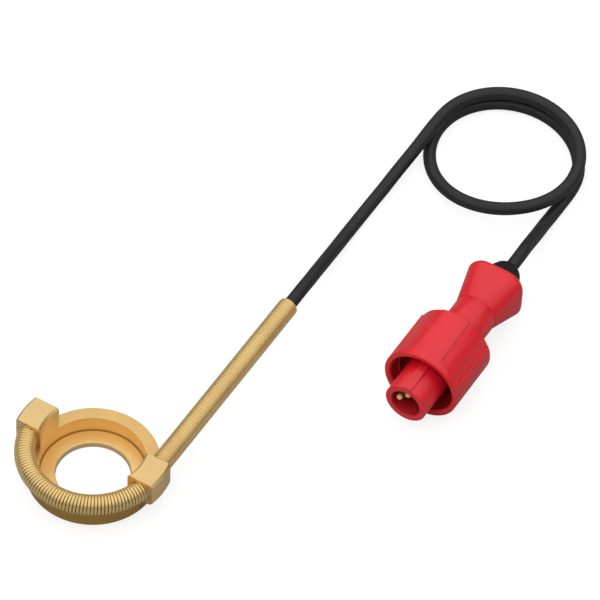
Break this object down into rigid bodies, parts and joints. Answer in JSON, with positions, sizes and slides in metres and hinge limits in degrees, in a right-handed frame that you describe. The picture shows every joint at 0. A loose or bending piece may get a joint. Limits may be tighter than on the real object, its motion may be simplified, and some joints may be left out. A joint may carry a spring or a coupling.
{
  "type": "ring probe with armoured lead and two-pin plug",
  "caption": "Brass ring sensing probe with spring-armoured lead, looped black cord and red keyed two-pin plug with a turning coupling collar.",
  "frame": {"origin": "On the ring's axis, at the ring's underside, which rests on the surface.", "axes": "+Z along the ring's axis, up, out of the flat seat. +Y along the straight armoured lead, from the ring to the cord. +X from the ring's axis towards the lug that the lead leaves from."},
  "size_m": [0.1055, 0.2236, 0.025],
  "materials": {
    "brass": "fine turned, satin",
    "lug_brass": "fine milled, satin",
    "spring_brass": "drawn wire, bright",
    "ptfe": "waxy white",
    "copper": "enamelled copper wire",
    "jacket": "matt extruded jacket",
    "boot": "matt moulded rubber",
    "shell_red": "satin moulded plastic",
    "collar_red": "satin moulded plastic",
    "steel": "plain spring steel",
    "insulator": "matt moulded insulator",
    "gilt": "gold plated",
    "wire_red": "extruded insulation"
  },
  "bodies": {
    "probe": {"ring_body": "brass", "end_lug": "lug_brass", "lead_lug": "lug_brass", "ring_spring": "spring_brass", "lead_spring": "spring_brass", "sensing_core": "ptfe", "sense_winding": "copper", "end_ferrule": "lug_brass", "lead_ferrule": "lug_brass", "lead_cable": "jacket", "cord_entry": "jacket", "cord_loop": "jacket", "cord_tail": "jacket", "cable_boot": "boot", "cable_clamp": "lug_brass", "back_shell": "shell_red", "plug_body": "shell_red", "wave_washer": "steel", "retaining_ring": "steel", "contact_insert": "insulator", "contact_pin_top": "gilt", "contact_pin_side": "gilt", "conductor_top": "wire_red", "conductor_side": "ptfe"},
    "collar": {"coupling_collar": "collar_red"}
  },
  "joints": [
    {"name": "collar_turn", "type": "hinge", "parent": "probe", "child": "collar", "pos_m": [0.0687, 0.09, 0.0125], "axis": [0, 1, 0], "continuous": true}
  ]
}
